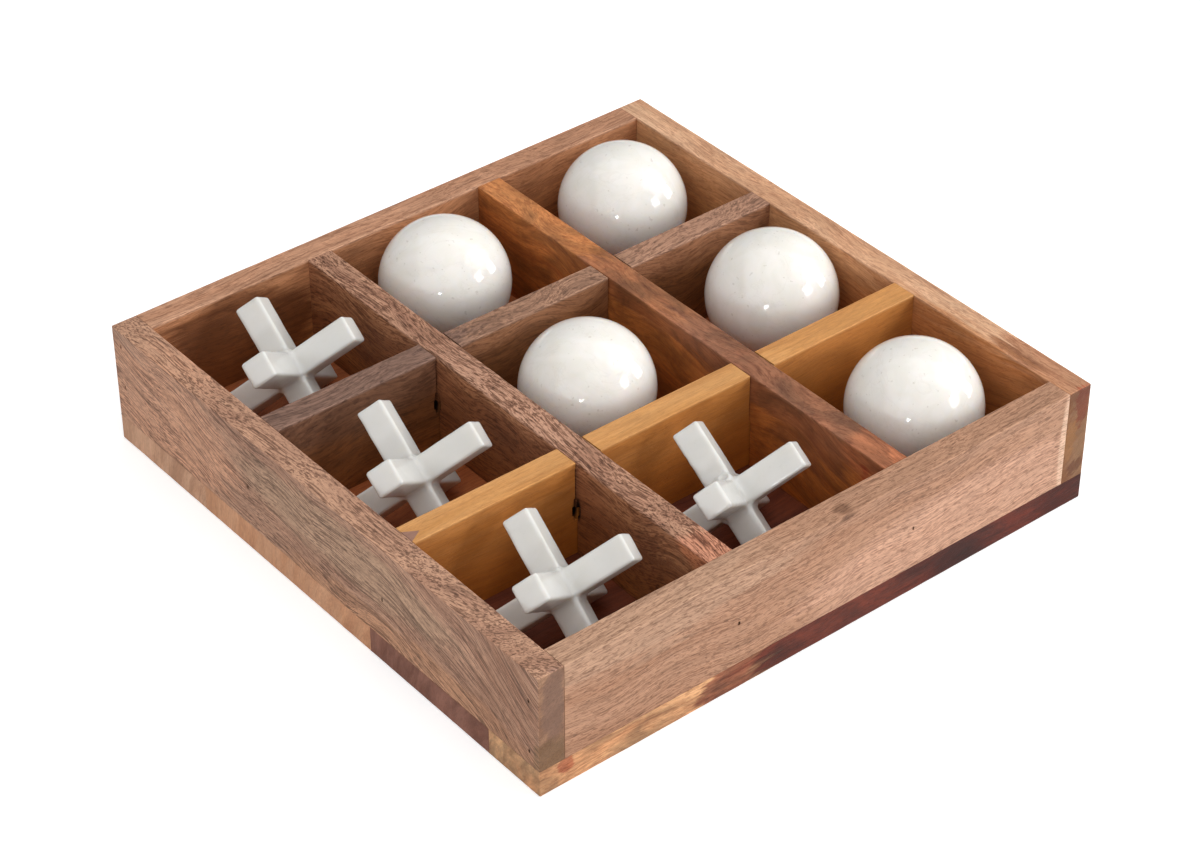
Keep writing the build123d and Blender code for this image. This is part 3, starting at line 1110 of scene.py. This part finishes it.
# Each softbox: the direction that it stands in, its distance, width, height and power in watts
SOFTBOXES = {
    "overhead": ((-0.10, 0.12, 1.0), 1.5, 1.9, 1.9, 13.0),
    "left": ((-0.83, -0.20, 0.51), 1.8, 1.2, 1.0, 5.0),
    "right_high": ((0.66, -0.36, 0.66), 1.8, 1.3, 1.3, 11.0),
    "front_right": ((0.495, -0.784, 0.376), 1.7, 0.42, 0.42, 6.0),
    "right": ((0.90, -0.42, 0.14), 1.7, 0.45, 0.80, 14.0),
    "front_fill": ((-0.40, -0.66, 0.64), 1.9, 1.5, 1.2, 6.5),
    "small": ((-0.739, -0.641, 0.245), 1.5, 0.11, 0.11, 2.4),
}


def floor():
    """A plain white floor under the tray."""
    reach = FLOOR_REACH
    corners = [(-reach, -reach, 0), (reach, -reach, 0), (reach, reach, 0), (-reach, reach, 0)]
    mesh = bpy.data.meshes.new("floor")
    mesh.from_pydata(corners, [], [(0, 1, 2, 3)])
    made = bpy.data.objects.new("floor", mesh)
    bpy.context.collection.objects.link(made)
    made.location.z = cad_box[0].z - FLOOR_GAP
    material, graph, shader = new_material("floor_white")
    place = graph.add("ShaderNodeTexCoord").outputs["Object"]
    grain = graph.noise(graph.stretch(place, (900, 900, 900)), 2.0, 0.5)
    graph.feed(shader.inputs["Base Color"], graph.blend(grain, (0.80, 0.80, 0.80), (0.83, 0.83, 0.83)))
    graph.feed(shader.inputs["Roughness"], 0.9)
    graph.feed(shader.inputs["Specular IOR Level"], 0.1)
    seen = graph.add("ShaderNodeLightPath").outputs["Is Camera Ray"]
    graph.feed(shader.inputs["Emission Color"], (1.0, 1.0, 1.0))
    graph.feed(shader.inputs["Emission Strength"], graph.maths("MULTIPLY", seen, FLOOR_GLOW))
    mesh.materials.append(material)


def softbox(name, direction, distance, width, height, power):
    """A soft white light that faces the middle of the tray from a direction."""
    light = bpy.data.lights.new(name, "AREA")
    light.shape = "RECTANGLE"
    light.size = width
    light.size_y = height
    light.energy = power
    made = bpy.data.objects.new(name, light)
    bpy.context.collection.objects.link(made)
    towards = Vector(direction).normalized()
    made.location = towards * distance
    made.rotation_mode = "QUATERNION"
    made.rotation_quaternion = towards.to_track_quat("Z", "Y")


def world_light(strength):
    """An even white surround."""
    world = bpy.data.worlds.new("surround")
    world.use_nodes = True
    background = world.node_tree.nodes["Background"]
    background.inputs["Color"].default_value = (1.0, 1.0, 1.0, 1.0)
    background.inputs["Strength"].default_value = strength
    bpy.context.scene.world = world


def camera():
    """The camera that looks down on the near corner of the tray."""
    lens = bpy.data.cameras.new("camera")
    lens.lens = CAMERA_LENS
    lens.sensor_width = CAMERA_SENSOR
    made = bpy.data.objects.new("camera", lens)
    bpy.context.collection.objects.link(made)
    made.location = CAMERA_PLACE
    made.rotation_mode = "QUATERNION"
    made.rotation_quaternion = (made.location - Vector(CAMERA_TARGET)).to_track_quat("Z", "Y")
    bpy.context.scene.camera = made


floor()
world_light(WORLD_STRENGTH)
for name, setup in SOFTBOXES.items():
    softbox(name, *setup)
camera()
bpy.context.scene.view_settings.view_transform = "Standard"
